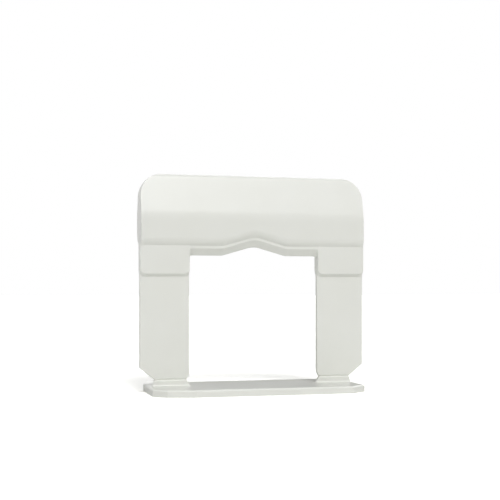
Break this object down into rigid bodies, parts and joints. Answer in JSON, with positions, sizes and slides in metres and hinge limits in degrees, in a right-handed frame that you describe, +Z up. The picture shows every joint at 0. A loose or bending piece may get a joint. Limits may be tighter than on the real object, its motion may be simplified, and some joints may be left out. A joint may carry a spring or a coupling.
{
  "type": "tile leveling clip",
  "caption": "One-piece plastic clip with a thin base under two tile edges, two flat legs with a break line, and a leaning head over a wedge window.",
  "frame": {"origin": "middle of the underside of the base", "axes": "+X from the left leg to the right leg, +Z up from the base to the head, -Y out of the front of the head"},
  "size_m": [0.048, 0.0184, 0.0451],
  "materials": {
    "polypropylene": "satin"
  },
  "bodies": {
    "root": {"clip": "polypropylene"}
  },
  "joints": []
}
